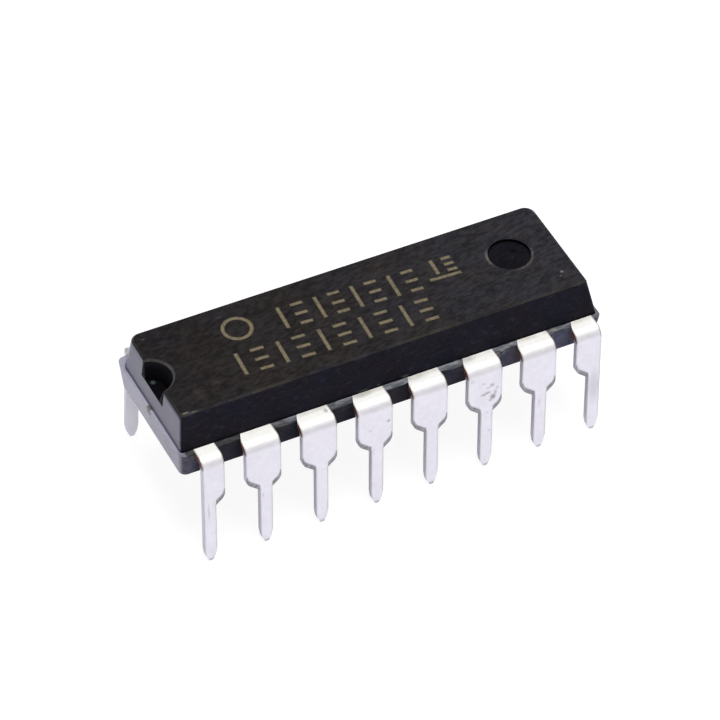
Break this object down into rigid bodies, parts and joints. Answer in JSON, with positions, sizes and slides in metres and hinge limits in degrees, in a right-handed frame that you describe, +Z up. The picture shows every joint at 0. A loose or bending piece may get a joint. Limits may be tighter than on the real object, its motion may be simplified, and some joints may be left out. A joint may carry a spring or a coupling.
{
  "type": "integrated circuit",
  "caption": "Dual in-line plastic integrated circuit: moulded body with an index notch, a round ejector mark and two rows of bent, tapered through-hole leads.",
  "frame": {"origin": "under the middle of the body, on the plane of the lead tips", "axes": "+X along the body away from the index notch and lead 1, +Y across it towards leads 9 to 16, +Z up through the printed face"},
  "size_m": [0.0194, 0.0082, 0.0073],
  "materials": {
    "moulding": "matt black-brown epoxy moulding, a little blue on the sides",
    "tinned_lead": "matt tin plate on copper alloy, pale and slightly lavender",
    "copper_alloy": "bare copper alloy strip",
    "die_attach": "silver-filled adhesive, dull",
    "silicon": "polished silicon",
    "gold_wire": "fine gold wire"
  },
  "bodies": {
    "root": {"body": "moulding", "die_pad": "copper_alloy", "die_attach": "die_attach", "die": "silicon", "lead_1": "tinned_lead", "lead_2": "tinned_lead", "lead_3": "tinned_lead", "lead_4": "tinned_lead", "lead_5": "tinned_lead", "lead_6": "tinned_lead", "lead_7": "tinned_lead", "lead_8": "tinned_lead", "lead_9": "tinned_lead", "lead_10": "tinned_lead", "lead_11": "tinned_lead", "lead_12": "tinned_lead", "lead_13": "tinned_lead", "lead_14": "tinned_lead", "lead_15": "tinned_lead", "lead_16": "tinned_lead", "bond_wire_1": "gold_wire", "bond_wire_2": "gold_wire", "bond_wire_3": "gold_wire", "bond_wire_4": "gold_wire", "bond_wire_5": "gold_wire", "bond_wire_6": "gold_wire", "bond_wire_7": "gold_wire", "bond_wire_8": "gold_wire", "bond_wire_9": "gold_wire", "bond_wire_10": "gold_wire", "bond_wire_11": "gold_wire", "bond_wire_12": "gold_wire", "bond_wire_13": "gold_wire", "bond_wire_14": "gold_wire", "bond_wire_15": "gold_wire", "bond_wire_16": "gold_wire"}
  },
  "joints": []
}
